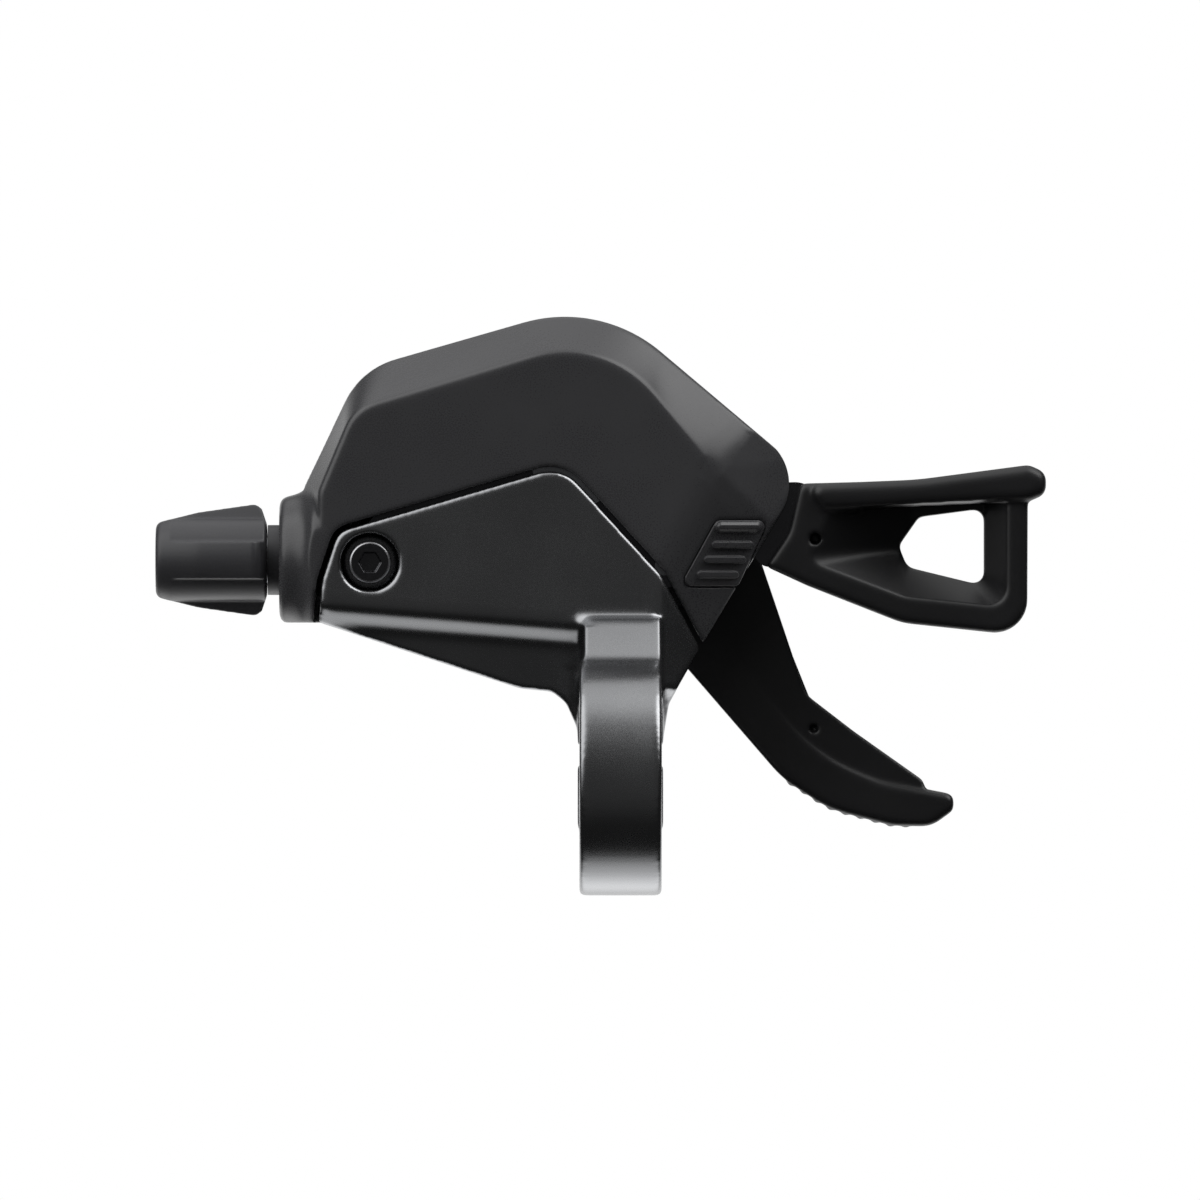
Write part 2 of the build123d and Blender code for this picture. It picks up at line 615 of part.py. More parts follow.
def main_axle():
    """Stepped axle with a flat head in front of the base plate and a thread at the far end."""
    axle = disc(axle_at, axle_head_radius, base_plate_front - axle_head_thickness, base_plate_front)
    axle += disc(axle_at, axle_radius, base_plate_front, rear_plate_front)
    axle += disc(axle_at, axle_thread_radius, rear_plate_front, nut_back + 0.5)
    axle -= spring_tab()
    return chamfer(axle.edges().filter_by(GeomType.CIRCLE).sort_by(Axis.Y)[-1], 0.4)


def axle_spacers():
    """Three thin washers that keep the turning pieces apart."""
    inner = axle_radius + running_clearance
    rings = ring(axle_at, spacer_radius, inner, base_plate_back, hold_ratchet_front)
    rings += ring(axle_at, spacer_radius, inner, drive_ratchet_back, arm_front)
    rings += ring(axle_at, spacer_radius, inner, arm_back, rear_plate_front)
    return rings


def axle_washer():
    """Flat washer under the axle nut."""
    return ring(axle_at, washer_radius, axle_thread_radius + 0.1, rear_plate_back, nut_front)


def axle_nut():
    """Hexagon nut at the far end of the axle."""
    nut = hexagon(axle_at, nut_width, nut_front, nut_back)
    nut &= disc(axle_at, nut_width * 0.56, nut_front, nut_back)
    return nut - hole(axle_at, axle_thread_radius)


def ratchet_face(lean):
    """A disc with saw teeth on part of its rim; lean is +1 or -1 for the way the teeth point."""
    points = []
    for index in range(ratchet_tooth_count):
        start = ratchet_first_tooth + index * ratchet_tooth_pitch
        root = math.radians(start)
        tip = math.radians(start + ratchet_tooth_pitch * (0.5 + 0.42 * lean))
        points.append((ratchet_root_radius * math.cos(root), ratchet_root_radius * math.sin(root)))
        points.append((ratchet_tip_radius * math.cos(tip), ratchet_tip_radius * math.sin(tip)))
    last = math.radians(ratchet_first_tooth + ratchet_tooth_count * ratchet_tooth_pitch)
    points.append((ratchet_root_radius * math.cos(last), ratchet_root_radius * math.sin(last)))
    teeth = make_face(Polyline(*points, (0, 0), close=True))
    return Pos(*axle_at) * (teeth + Circle(ratchet_root_radius - 0.15))


def hold_ratchet():
    """Toothed plate that the holding pawl locks, one tooth for each gear."""
    wheel = slab(ratchet_face(1), hold_ratchet_front, drum_front)
    return wheel - hole(axle_at, axle_radius + running_clearance)


def drive_ratchet():
    """Toothed plate that the drive pawl pushes round."""
    wheel = slab(ratchet_face(-1), drum_back, drive_ratchet_back)
    return wheel - hole(axle_at, axle_radius + running_clearance)


def cable_drum():
    """Drum with a cable groove, a seat for the cable end and a well for the spiral spring."""
    drum = disc(axle_at, drum_flange_radius, drum_front, drum_back)
    groove = Plane(origin=(axle_x + cable_wrap_radius, cable_level, axle_z), x_dir=(1, 0, 0), z_dir=(0, 0, 1))
    section = Circle(cable_groove_radius) + Pos(1.5, 0) * Rectangle(3.0, cable_groove_radius * 2)
    drum -= revolve(groove * section, axis=Axis((axle_x, 0, axle_z), (0, 1, 0)))
    drum -= along_x(nipple_radius, axle_x + 1.5, axle_x + 20, cable_level, adjuster_height)
    drum -= disc(axle_at, spring_well_radius, drum_front - 1, drum_front + spring_well_depth)
    return drum - hole(axle_at, axle_radius + running_clearance)


def spring_tab():
    """The straight inner end of the spiral spring, which sits in a slot of the axle."""
    face = Pos(axle_x + axle_radius - 0.1, axle_z - spring_strip / 2) * Rectangle(1.8, spring_strip)
    return slab(face, drum_front + 0.4, drum_front + spring_well_depth - 0.3)


def drum_spring():
    """Flat spiral strip that turns the drum back when the cable is let go."""
    inner = axle_radius + 0.5
    outer = spring_well_radius - 0.5 - spring_strip
    turns = 3.25
    steps = 40
    inside = []
    outside = []
    for index in range(steps + 1):
        turn = 2 * math.pi * turns * index / steps
        radius = inner + (outer - inner) * index / steps
        inside.append((radius * math.cos(turn), radius * math.sin(turn)))
        outside.append(((radius + spring_strip) * math.cos(turn), (radius + spring_strip) * math.sin(turn)))
    edges = [Spline(*inside), Line(inside[-1], outside[-1]), Spline(*outside), Line(outside[0], inside[0])]
    strip = slab(Pos(*axle_at) * make_face(edges), drum_front + 0.4, drum_front + spring_well_depth - 0.3)
    return strip + spring_tab()


def pawl(eye, nose, tail, front, back):
    """A small lever plate: a round eye, a nose towards the ratchet and a short tail."""
    face = hull_of((eye, pawl_eye_radius), (nose, pawl_nose_radius))
    face += hull_of((eye, pawl_eye_radius), (tail, pawl_tail_radius))
    return slab(face - Pos(*eye) * Circle(pawl_pin_radius + running_clearance), front, back)


def holding_pawl():
    """Pawl on the base plate that keeps the drum in its gear."""
    nose = around_axle(ratchet_tip_radius + pawl_clearance + pawl_nose_radius, holding_pawl_angle - 14)
    tail = (holding_pawl_at[0] + holding_tail_offset[0], holding_pawl_at[1] + holding_tail_offset[1])
    return pawl(holding_pawl_at, nose, tail, hold_ratchet_front, drum_front)


def holding_pawl_pin():
    """Pin of the holding pawl, riveted in the base plate."""
    pin = disc(holding_pawl_at, pawl_pin_radius, base_plate_front, drum_front + 0.3)
    return pin + disc(holding_pawl_at, pawl_pin_radius + 0.6, drum_front + 0.3, drum_front + 0.8)


def drive_pawl():
    """Pawl on the thumb arm that pushes the drum round."""
    nose = around_axle(ratchet_tip_radius + pawl_clearance + pawl_nose_radius, drive_pawl_angle + 16)
    tail = (drive_pawl_at[0] + drive_tail_offset[0], drive_pawl_at[1] + drive_tail_offset[1])
    return pawl(drive_pawl_at, nose, tail, drum_back, drive_ratchet_back)


def drive_pawl_pin():
    """Pin of the drive pawl, riveted in the thumb arm."""
    pin = disc(drive_pawl_at, pawl_pin_radius, drum_back - 0.2, arm_back)
    return pin + disc(drive_pawl_at, pawl_pin_radius + 0.6, drum_back - 0.6, drum_back - 0.2)


def coil(centre, radius, wire, pitch, front, turns):
    """A coil of round wire along Y."""
    start = Plane(origin=(centre[0], front, centre[1]), x_dir=(1, 0, 0), z_dir=(0, 1, 0))
    path = start * Helix(pitch=pitch, height=pitch * turns, radius=radius)
    section = Plane(origin=path @ 0, z_dir=path % 0) * Circle(wire)
    return sweep(section, path=path)


def thumb_spring():
    """Coil spring behind the rear plate that brings the thumb lever back; one leg sits in the plate."""
    spring = coil(axle_at, thumb_spring_radius, 0.4, 0.9, rear_plate_back + 0.5, 1.3)
    return spring + disc(thumb_spring_leg, 0.4, rear_plate_front, rear_plate_back + 0.5)


def release_spring():
    """Small coil spring on the release pin that brings the release lever back; one leg sits in the arm."""
    spring = coil(release_pivot, release_spring_radius, 0.25, 0.55, release_arm_back + 0.3, 1.0)
    return spring + disc(release_spring_leg, 0.25, release_arm_front, release_arm_back + 0.3)


def thumb_arm_face():
    """Outline of the steel arm of the thumb lever."""
    face = hull_of((axle_at, arm_hub_radius), (thumb_knee, 5.0))
    face += hull_of((thumb_knee, 5.0), (thumb_arm_end, 1.8))
    return face - Pos(*axle_at) * Circle(axle_radius + running_clearance)


def thumb_arm():
    """Steel arm of the thumb lever, from the axle into the paddle."""
    return slab(thumb_arm_face(), arm_front, arm_back) - hole(drive_pawl_at, pawl_pin_radius)


def thumb_paddle():
    """Moulded thumb lever: a web around the arm and a deep pad with grip ribs."""
    paddle = slab(outline(thumb_outline, thumb_radii), thumb_web_front, thumb_web_back)
    paddle -= hole(axle_at, thumb_base_radius)
    pad_back = thumb_pad_front + thumb_pad_depth
    pad = slab(outline(thumb_pad_outline, thumb_pad_radii), thumb_pad_front - thumb_pad_step, pad_back)
    pad -= hole(axle_at, thumb_pad_clear_radius)
    root = Vector(thumb_pad_root[0], thumb_web_front, thumb_pad_root[1])
    along = Vector(thumb_pad_tip[0], thumb_pad_front, thumb_pad_tip[1]) - root
    across = Vector(-along.Z, 0, along.X)
    slope = Plane(origin=root, x_dir=along, z_dir=along.cross(across))
    side = Keep.TOP if slope.z_dir.Y > 0 else Keep.BOTTOM
    pad = split(pad, bisect_by=slope, keep=side)
    ends = pad.faces().sort_by(Axis.Y)
    pad = fillet(ends[0].edges() + ends[-1].edges(), thumb_pad_edge_radius)
    grip = FilletPolyline(*thumb_pad_outline[grip_start:grip_end], radius=grip_bend_radius)
    for index in range(grip_rib_count):
        place = grip @ (0.16 + 0.78 * index / (grip_rib_count - 1))
        side = grip % (0.16 + 0.78 * index / (grip_rib_count - 1))
        sunk = (place.X + side.Y * 0.3, place.Y - side.X * 0.3)
        pad += disc(sunk, grip_rib_radius, thumb_pad_front + 1.4, pad_back - 1.4)
    paddle += pad
    paddle -= disc(thumb_hole_at, thumb_hole_radius, 0, thumb_web_front + 0.9)
    return paddle - slab(thumb_arm_face(), arm_front, arm_back)


def release_arm_face():
    """Outline of the steel arm of the release lever, with its cam finger."""
    half = release_arm_half_height
    knee = (release_pivot[0] + 12.0, release_pivot[1] + 0.2)
    face = hull_of((release_pivot, half), (knee, half + 0.2))
    face += hull_of((knee, half - 0.4), (release_arm_end, 1.6))
    finger = (release_pivot[0] + cam_finger_offset[0], release_pivot[1] + cam_finger_offset[1])
    face += hull_of((release_pivot, 2.0), (finger, cam_finger_radius))
    face += hull_of((knee, half), (release_lobe_at, release_lobe_radius))
    face -= Pos(*release_spring_leg) * Circle(0.25)
    return face - Pos(*release_pivot) * Circle(release_pin_radius + running_clearance)


def release_arm():
    """Steel arm of the release lever, from its pin into the paddle."""
    return slab(release_arm_face(), release_arm_front, release_arm_back)


def release_pin():
    """Pivot pin of the release lever with a groove for its clip."""
    end = base_plate_front + release_pin_length
    pin = disc(release_pivot, release_pin_radius, base_plate_front, end)
    return pin - ring(release_pivot, 5.0, clip_groove_radius, end - 1.0, end - 0.4)


def release_clip():
    """Spring clip that keeps the release lever on its pin."""
    end = base_plate_front + release_pin_length
    clip = ring(release_pivot, release_pin_radius + 1.2, clip_groove_radius, end - 1.0, end - 0.4)
    return clip - slab(Pos(release_pivot[0], release_pivot[1] - 3) * Rectangle(1.4, 6), -far, far)


def release_paddle():
    """Moulded release lever: a frame with a sloped pocket, a window and a rounded finger bar."""
    front = release_paddle_front + release_frame_inset
    back = front + release_frame_depth
    frame = slab(outline(release_outline, release_radii), front, back)
    ends = frame.faces().filter_by(Plane.XZ).sort_by(Axis.Y)
    frame = fillet(ends[0].edges() + ends[-1].edges(), release_edge_radius)
    bar_back = release_paddle_front + release_paddle_depth
    bar = slab(outline(finger_bar_outline, finger_bar_radii), release_paddle_front, bar_back)
    ends = bar.faces().filter_by(Plane.XZ).sort_by(Axis.Y)
    bar = fillet(ends[0].edges() + ends[-1].edges(), finger_bar_edge_radius)
    mouth = at_depth(outline(pocket_rim, pocket_rim_radii).face(), front - 0.02)
    floor = at_depth(outline(window_outline, window_radii).face(), front + pocket_depth)
    paddle = frame - loft([mouth, floor], ruled=True)
    paddle -= slab(outline(window_outline, window_radii), front, back + 1)
    paddle += bar
    paddle -= disc(rivet_hole_at, rivet_hole_radius, 0, front + rivet_hole_depth)
    return paddle - slab(release_arm_face(), release_arm_front, release_arm_back)


def adjuster_insert():
    """Threaded brass insert in the boss."""
    start = boss_face + sleeve_bore_depth
    tube = along_x(insert_radius, start, boss_end, cable_level, adjuster_height)
    return tube - along_x(stem_radius + running_clearance, -far, far, cable_level, adjuster_height)


def adjuster_sleeve():
    """Smooth neck that slides in the boss and carries the knob."""
    start = knob_back + 0.1
    tube = along_x(sleeve_radius, start, start + sleeve_length, cable_level, adjuster_height)
    return tube - along_x(stem_radius + running_clearance, -far, far, cable_level, adjuster_height)


def adjuster_stem():
    """Threaded tube fixed in the knob; the cable runs through it."""
    tube = along_x(stem_radius, knob_back - stem_seat_depth, stem_end, cable_level, adjuster_height)
    return tube - along_x(cable_bore_radius, -far, far, cable_level, adjuster_height)


def adjuster_knob():
    """Cone-shaped knob with three broad ribs, bored for the cable casing."""
    profile = [(knob_outer_end, 0), (knob_outer_end, knob_small_radius),
               (knob_outer_end + knob_middle_at, knob_middle_radius),
               (knob_back - knob_taper_length, knob_large_radius),
               (knob_back - knob_rim_length, knob_end_radius),
               (knob_back, sleeve_radius), (knob_back, 0)]
    plane = Plane(origin=(0, cable_level, adjuster_height), x_dir=(1, 0, 0), z_dir=(0, -1, 0))
    turned = plane * outline(profile, [0, knob_corner_radius, knob_bulge_radius, knob_corner_radius, 0, 0, 0])
    knob = revolve(turned, axis=Axis((0, cable_level, adjuster_height), (1, 0, 0)))
    flutes = along_x(knob_large_radius * 2, knob_outer_end + flute_start, far, cable_level, adjuster_height)
    flutes -= along_x(knob_core_radius, -far, far, cable_level, adjuster_height)
    for index in range(knob_rib_count):
        rib = Pos(0, -knob_large_radius, 0) * Box(far, knob_large_radius * 2, knob_rib_width)
        flutes -= Pos(knob_back, cable_level, adjuster_height) * Rot(index * 360 / knob_rib_count, 0, 0) * rib
    knob -= flutes
    casing_stop = knob_outer_end + casing_bore_depth
    knob -= along_x(casing_bore_radius, -far, casing_stop, cable_level, adjuster_height)
    knob -= along_x(cable_bore_radius, -far, far, cable_level, adjuster_height)
    return knob - along_x(stem_radius, knob_back - stem_seat_depth, far, cable_level, adjuster_height)


pieces = [
    bracket, clamp_bolt, clamp_nut, bracket_screw, front_cover, cable_port_cap, rear_cover, rear_cover_screws,
    base_plate, rear_plate, spacer_posts, main_axle, axle_spacers, axle_washer, axle_nut, hold_ratchet,
    drive_ratchet, cable_drum, drum_spring, holding_pawl, holding_pawl_pin, drive_pawl, drive_pawl_pin,
    thumb_spring, release_spring, thumb_arm, thumb_paddle, release_arm, release_paddle, release_pin,
    release_clip, adjuster_insert, adjuster_sleeve, adjuster_stem, adjuster_knob,
]

os.makedirs("parts", exist_ok=True)
for piece in pieces:
    export_step(piece(), "parts/" + piece.__name__ + ".step")
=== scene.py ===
import math

import bmesh
import bpy
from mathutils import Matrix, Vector


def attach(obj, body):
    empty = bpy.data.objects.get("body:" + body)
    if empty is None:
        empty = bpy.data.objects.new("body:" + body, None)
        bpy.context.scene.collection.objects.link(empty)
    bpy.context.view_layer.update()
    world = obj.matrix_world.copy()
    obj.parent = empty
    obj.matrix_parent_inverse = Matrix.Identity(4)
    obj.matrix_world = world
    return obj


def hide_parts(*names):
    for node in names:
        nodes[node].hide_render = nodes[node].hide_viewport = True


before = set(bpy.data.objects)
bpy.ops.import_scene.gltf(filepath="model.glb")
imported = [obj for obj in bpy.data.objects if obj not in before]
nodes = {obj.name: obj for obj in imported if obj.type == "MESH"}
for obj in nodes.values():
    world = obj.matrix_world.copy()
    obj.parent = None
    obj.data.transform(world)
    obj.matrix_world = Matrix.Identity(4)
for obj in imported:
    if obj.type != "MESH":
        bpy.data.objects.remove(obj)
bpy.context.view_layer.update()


# Bracket: plate, flank, ramp and clamp band, which hold the shifter on the handlebar.
# Die cast in aluminium in one piece, tumbled so that its edges are soft, and sprayed dark grey.
# The housing is screwed to its back, and the clamp bolt closes the band.
MM = 0.001


def linear(hex_colour):
    """An sRGB hex colour as linear red, green, blue and alpha."""
    parts = [int(hex_colour[i:i + 2], 16) / 255 for i in (1, 3, 5)]
    return [c / 12.92 if c <= 0.04045 else ((c + 0.055) / 1.055) ** 2.4 for c in parts] + [1.0]


def add_node(tree, kind, links=None, inputs=None, **settings):
    """Adds one node: its settings, its fixed input values and the sockets that feed its inputs."""
    node = tree.nodes.new(kind)
    for name, value in settings.items():
        setattr(node, name, value)
    for name, value in (inputs or {}).items():
        node.inputs[name].default_value = value
    for name, socket in (links or {}).items():
        tree.links.new(socket, node.inputs[name])
    return node


def grained_finish(name, dark, light, grain_mm, roughness, spread, bump_mm,
                   metallic=0.0, ior=1.5):
    """A finish whose fine grain and faint clouds mix two colours and vary the roughness.

    The grain lifts the surface a little too. Real flakes, moulded texture and plating are finer
    than a pixel of the render, about 0.15 mm, so each grain is drawn as coarse as it needs to show.
    """
    cloud_mm = 14
    usual_sum = {"From Min": 0.7, "From Max": 1.3}
    bump_strength = 0.35
    material = bpy.data.materials.new(name)
    material.use_nodes = True
    tree = material.node_tree
    shader = tree.nodes["Principled BSDF"]
    place = add_node(tree, "ShaderNodeTexCoord")
    grain = add_node(tree, "ShaderNodeTexNoise", {"Vector": place.outputs["Object"]},
                     {"Scale": 1 / (grain_mm * MM), "Detail": 2.0, "Roughness": 0.6})
    cloud = add_node(tree, "ShaderNodeTexNoise", {"Vector": place.outputs["Object"]},
                     {"Scale": 1 / (cloud_mm * MM), "Detail": 3.0})
    both = add_node(tree, "ShaderNodeMath", {0: grain.outputs["Fac"], 1: cloud.outputs["Fac"]},
                    operation="ADD")
    share = add_node(tree, "ShaderNodeMapRange", {"Value": both.outputs["Value"]}, usual_sum)
    colour = add_node(tree, "ShaderNodeMix", {"Factor": share.outputs["Result"]},
                      {"A": linear(dark), "B": linear(light)}, data_type="RGBA")
    tree.links.new(colour.outputs["Result"], shader.inputs["Base Color"])
    rough = add_node(tree, "ShaderNodeMapRange", {"Value": both.outputs["Value"]},
                     {**usual_sum, "To Min": roughness - spread, "To Max": roughness + spread})
    tree.links.new(rough.outputs["Result"], shader.inputs["Roughness"])
    bump = add_node(tree, "ShaderNodeBump", {"Height": grain.outputs["Fac"]},
                    {"Strength": bump_strength, "Distance": bump_mm * MM})
    tree.links.new(bump.outputs["Normal"], shader.inputs["Normal"])
    shader.inputs["Metallic"].default_value = metallic
    if metallic == 0:
        shader.inputs["IOR"].default_value = ior
    return material


def soft_edged(name, body, material, cell_mm, passes,
               blocks_mm=(), rolled=None, trimmed=None):
    """A copy of a node with its edges worn round: merged, remeshed in small cells and relaxed.

    blocks_mm lists the corners of convex blocks that are moulded on to it, rolled picks the points
    of a form that is rolled softer than the edges, and trimmed moves points to where the real
    surface ends. Both are given places in millimetres.
    """
    merge_mm = 0.001
    rolling_passes = 40
    source = bpy.data.objects.new(name + "_source", nodes[name].data.copy())
    bpy.context.scene.collection.objects.link(source)
    shape = bmesh.new()
    shape.from_mesh(source.data)
    bmesh.ops.remove_doubles(shape, verts=shape.verts, dist=merge_mm * MM)
    for block in blocks_mm:
        corners = [shape.verts.new(Vector(corner) * MM) for corner in block]
        bmesh.ops.convex_hull(shape, input=corners)
    shape.to_mesh(source.data)
    shape.free()
    cells = source.modifiers.new("cells", "REMESH")
    cells.mode = "VOXEL"
    cells.voxel_size = cell_mm * MM
    depsgraph = bpy.context.evaluated_depsgraph_get()
    fine = bpy.data.meshes.new_from_object(source.evaluated_get(depsgraph))
    bpy.data.objects.remove(source)
    shape = bmesh.new()
    shape.from_mesh(fine)
    if trimmed:
        for vert in shape.verts:
            vert.co = trimmed(vert.co / MM) * MM
    rolled_points = [vert for vert in shape.verts if rolled and rolled(vert.co / MM)]
    for points in [shape.verts] * passes + [rolled_points] * rolling_passes:
        bmesh.ops.smooth_vert(shape, verts=points, factor=0.5,
                              use_axis_x=True, use_axis_y=True, use_axis_z=True)
    bmesh.ops.recalc_face_normals(shape, faces=shape.faces)
    for face in shape.faces:
        face.smooth = True
    shape.to_mesh(fine)
    shape.free()
    fine.materials.clear()
    fine.materials.append(material)
    piece = bpy.data.objects.new(name + "_finished", fine)
    bpy.context.scene.collection.objects.link(piece)
    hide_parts(name)
    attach(piece, body)
    return piece


# Metallic paint: flakes under a thin lacquer give a dark face with bright, soft-edged reflections.
paint = grained_finish("metallic_paint_on_cast_aluminium", "#98999b", "#a2a3a5", grain_mm=0.16,
                       roughness=0.27, spread=0.04, bump_mm=0.02, metallic=1.0)
# The ramp swells between its two sides; its section is given in Y and Z.
ramp_sides = (-4.65, 5.2)
ramp_section = ((-2.6, 14.7), (2.98, 20.4), (5.2, 20.4), (5.2, 18.0))
ramp_swell = [(x, y, z) for x in ramp_sides for y, z in ramp_section]
# The fold and the flank's lower edge both fall from the plate's left end towards the ramp.
plate_left = -38.7
fold_left_z, fold_fall = 21.9, 0.079
edge_left_z, edge_fall, edge_level_x = 19.8, 0.33, -12.9
fold_start_x, fold_end_x, fold_back_y = -37.4, -5.6, 9
fold_above, fold_below, clear_of_edge = 1.6, 5.5, 0.6
# The blend between the plate and the ramp's top.
blend_end_x, blend_back_y = 4.7, 5.5
blend_low_z, blend_high_z = 19.3, 22.2


def on_fold(place):
    """Whether a point is on the rolled fold of the lower flank or on the blend above the ramp."""
    fold_z = fold_left_z - (place.x - plate_left) * fold_fall
    edge_z = edge_left_z - (min(place.x, edge_level_x) - plate_left) * edge_fall
    if fold_start_x < place.x < fold_end_x:
        lowest_z = max(edge_z + clear_of_edge, fold_z - fold_below)
        return place.y < fold_back_y and lowest_z < place.z < fold_z + fold_above
    on_blend = fold_end_x < place.x < blend_end_x and blend_low_z < place.z < blend_high_z
    return on_blend and place.y < blend_back_y


soft_edged("bracket", "housing", paint, cell_mm=0.27, passes=8,
           blocks_mm=[ramp_swell], rolled=on_fold)


# Clamp bolt: socket head bolt that pulls the two lugs of the band together.
# Forged steel, blackened in a hot salt bath, screwed up from the underside.
def finish_node(name, material):
    """Gives a node of the frame its material."""
    mesh = nodes[name].data
    mesh.materials.clear()
    mesh.materials.append(material)


# Black oxide: a thin dark skin that keeps the metal's sheen.
black_oxide = grained_finish("black_oxide_steel", "#5c5c5f", "#68686b", grain_mm=0.25,
                             roughness=0.24, spread=0.05, bump_mm=0.006, metallic=1.0)
finish_node("clamp_bolt", black_oxide)


# Clamp nut: square nut that sits in a slot of the upper lug and can't turn.
# Pressed steel, zinc plated.
# Zinc plating: bright, slightly cloudy grey.
zinc = grained_finish("zinc_plated_steel", "#b4b6ba", "#c6c8cc", grain_mm=0.4,
                      roughness=0.30, spread=0.06, bump_mm=0.006, metallic=1.0)
finish_node("clamp_nut", zinc)


# Bracket screw: small socket head screw in a round well of the plate.
# Blackened steel; it ties the bracket to the base plate behind it.
screw_x, screw_z = -32.1, 27.5
rim_from_radius, highlight_from_radius = 1.95, 2.2
# The painted highlight band lies between the head's flat face and its side, by the Y of its faces'
# normals.
highlight_facing = (-0.97, -0.1)


def off_screw_axis(place):
    """The distance of a point from the screw's axis."""
    return math.hypot(place.x - screw_x, place.z - screw_z)


def on_rim(place):
    """Whether a point of the screw is on the rounded rim of its head."""
    return off_screw_axis(place) > rim_from_radius


screw = soft_edged("bracket_screw", "housing", black_oxide, cell_mm=0.07, passes=4,
                   rolled=on_rim)
# Painted highlight: a bright steel colour on the head's rounded rim stands in for the light it
# catches.
painted_highlight_edge = grained_finish("painted_highlight_on_steel_edge", "#c4c4c7", "#d0d0d3", grain_mm=0.3,
                           roughness=0.34, spread=0.05, bump_mm=0.004, metallic=1.0)
screw.data.materials.append(painted_highlight_edge)
# Rim faces turned between the head's flat face and its side get the painted highlight.
for face in screw.data.polygons:
    on_highlight_band = highlight_facing[0] < face.normal.y < highlight_facing[1]
    if off_screw_axis(face.center / MM) > highlight_from_radius and on_highlight_band:
        face.material_index = 1


# Base plate: flat plate behind the bracket that carries the axle, the pins and the posts.
# Stamped from blackened steel sheet.
finish_node("base_plate", black_oxide)


# Main axle: stepped pin that the drum, the ratchets and the thumb arm turn on.
# Turned from steel and zinc plated, riveted in the base plate.
finish_node("main_axle", zinc)


# Axle spacers: three thin washers that keep the turning pieces apart.
# Punched from dark acetal sheet, which runs without grease.
# Acetal: smooth, dense and slightly waxy.
acetal = grained_finish("turned_black_acetal", "#2f3032", "#36373a", grain_mm=0.3,
                        roughness=0.45, spread=0.04, bump_mm=0.012, ior=1.48)
finish_node("axle_spacers", acetal)


# Ratchets: two toothed plates, one on each side of the drum, with a tooth for each gear.
# Stamped from steel strip, hardened and zinc plated.
finish_node("hold_ratchet", zinc)
finish_node("drive_ratchet", zinc)


# Cable drum: grooved wheel that winds the gear cable.
# Moulded in dark acetal, with a seat for the end of the cable.
finish_node("cable_drum", acetal)


# Springs: the spiral strip in the drum, and the coils of the thumb lever and the release lever.
# Wound from bare spring steel.
# Spring steel: drawn smooth, greyer than plated steel.
spring_steel = grained_finish("bare_spring_steel", "#8d8f93", "#a2a4a8", grain_mm=0.4,
                              roughness=0.28, spread=0.05, bump_mm=0.004, metallic=1.0)
finish_node("drum_spring", spring_steel)
finish_node("thumb_spring", spring_steel)
finish_node("release_spring", spring_steel)


# Pawls and their pins: the holding pawl on the base plate and the drive pawl on the thumb arm.
# Stamped and turned from steel, hardened and zinc plated.
finish_node("holding_pawl", zinc)
finish_node("holding_pawl_pin", zinc)
finish_node("drive_pawl", zinc)
finish_node("drive_pawl_pin", zinc)


# Rear plate, posts, washer and nut: they close the mechanism at the far end of the axle.
# Stamped and turned from steel, zinc plated.
finish_node("rear_plate", zinc)
finish_node("spacer_posts", zinc)
finish_node("axle_washer", zinc)
finish_node("axle_nut", zinc)


# Front cover: shell over the mechanism, with a slanted rim, a tilted end facet and the adjuster
# boss. Moulded in black nylon filled with glass fibre; studs inside hold it to the base plate.
# Filled nylon: a fine eroded texture, satin, with a broad soft sheen where it faces the light.
nylon = grained_finish("satin_glass_filled_nylon", "#454547", "#4d4d4f", grain_mm=0.2,
                       roughness=0.29, spread=0.04, bump_mm=0.012, ior=1.53)
# A short rib stands behind the plate's upper left corner.
corner_rib = [(x, y, z) for x in (-37.6, -34.6) for y in (10.9, 12.9) for z in (30.4, 33.6)]
# The boss is bored out round the adjuster's sleeve, and its lower edge is cut level.
sleeve_y, sleeve_z, bore_radius, bore_end_x = 14.9, 27.8, 4.75, -38.5
level_edge_z, level_edge_end_x = 19.75, -37.0
# The upper part of the end facet is cut back: a point of the cut, its fall to the back for each
# millimetre along X and along Z, how far it is set back, and the share of the old form it keeps.
cut_x, cut_y, cut_z = 11.5, 4.6, 39.5
cut_fall_x, cut_fall_z = 0.709, 0.128
cut_set_back, set_back_fade, form_kept = 0.16, 1.2, 0.12
# The crease runs from that point up to the rim: its direction, half its width, and the rim's line.
crease_dx, crease_dz, crease_half, crease_back_y = 0.61, 0.79, 1.5, 10.0
rim_x, rim_z, rim_dx, rim_dz, clear_of_rim = 15.9, 45.2, 0.653, 0.757, 0.3


def as_moulded(place):
    """A point of the cover, moved clear of the sleeve, above the lower edge and behind the cut."""
    x, y, z = place
    off_axis = math.hypot(y - sleeve_y, z - sleeve_z)
    if x < bore_end_x and off_axis < bore_radius:
        y = sleeve_y + (y - sleeve_y) * bore_radius / off_axis
        z = sleeve_z + (z - sleeve_z) * bore_radius / off_axis
    if x < level_edge_end_x:
        z = max(z, level_edge_z)
    cut = cut_y + (x - cut_x) * cut_fall_x + (z - cut_z) * cut_fall_z
    behind = y - cut
    if behind < 0:
        y = cut + cut_set_back + behind * form_kept
    else:
        y = y + cut_set_back * max(1 - behind / set_back_fade, 0)
    return Vector((x, y, z))


def on_end_crease(place):
    """Whether a point is on the soft crease between the slanted rim and the end's upper cut."""
    along = (place.x - cut_x) * crease_dx + (place.z - cut_z) * crease_dz
    across = (place.x - cut_x) * crease_dz - (place.z - cut_z) * crease_dx
    inside_rim = (place.x - rim_x) * rim_dx + (place.z - rim_z) * rim_dz < -clear_of_rim
    near_crease = abs(across) < crease_half and along > -crease_half
    return near_crease and inside_rim and place.y < crease_back_y


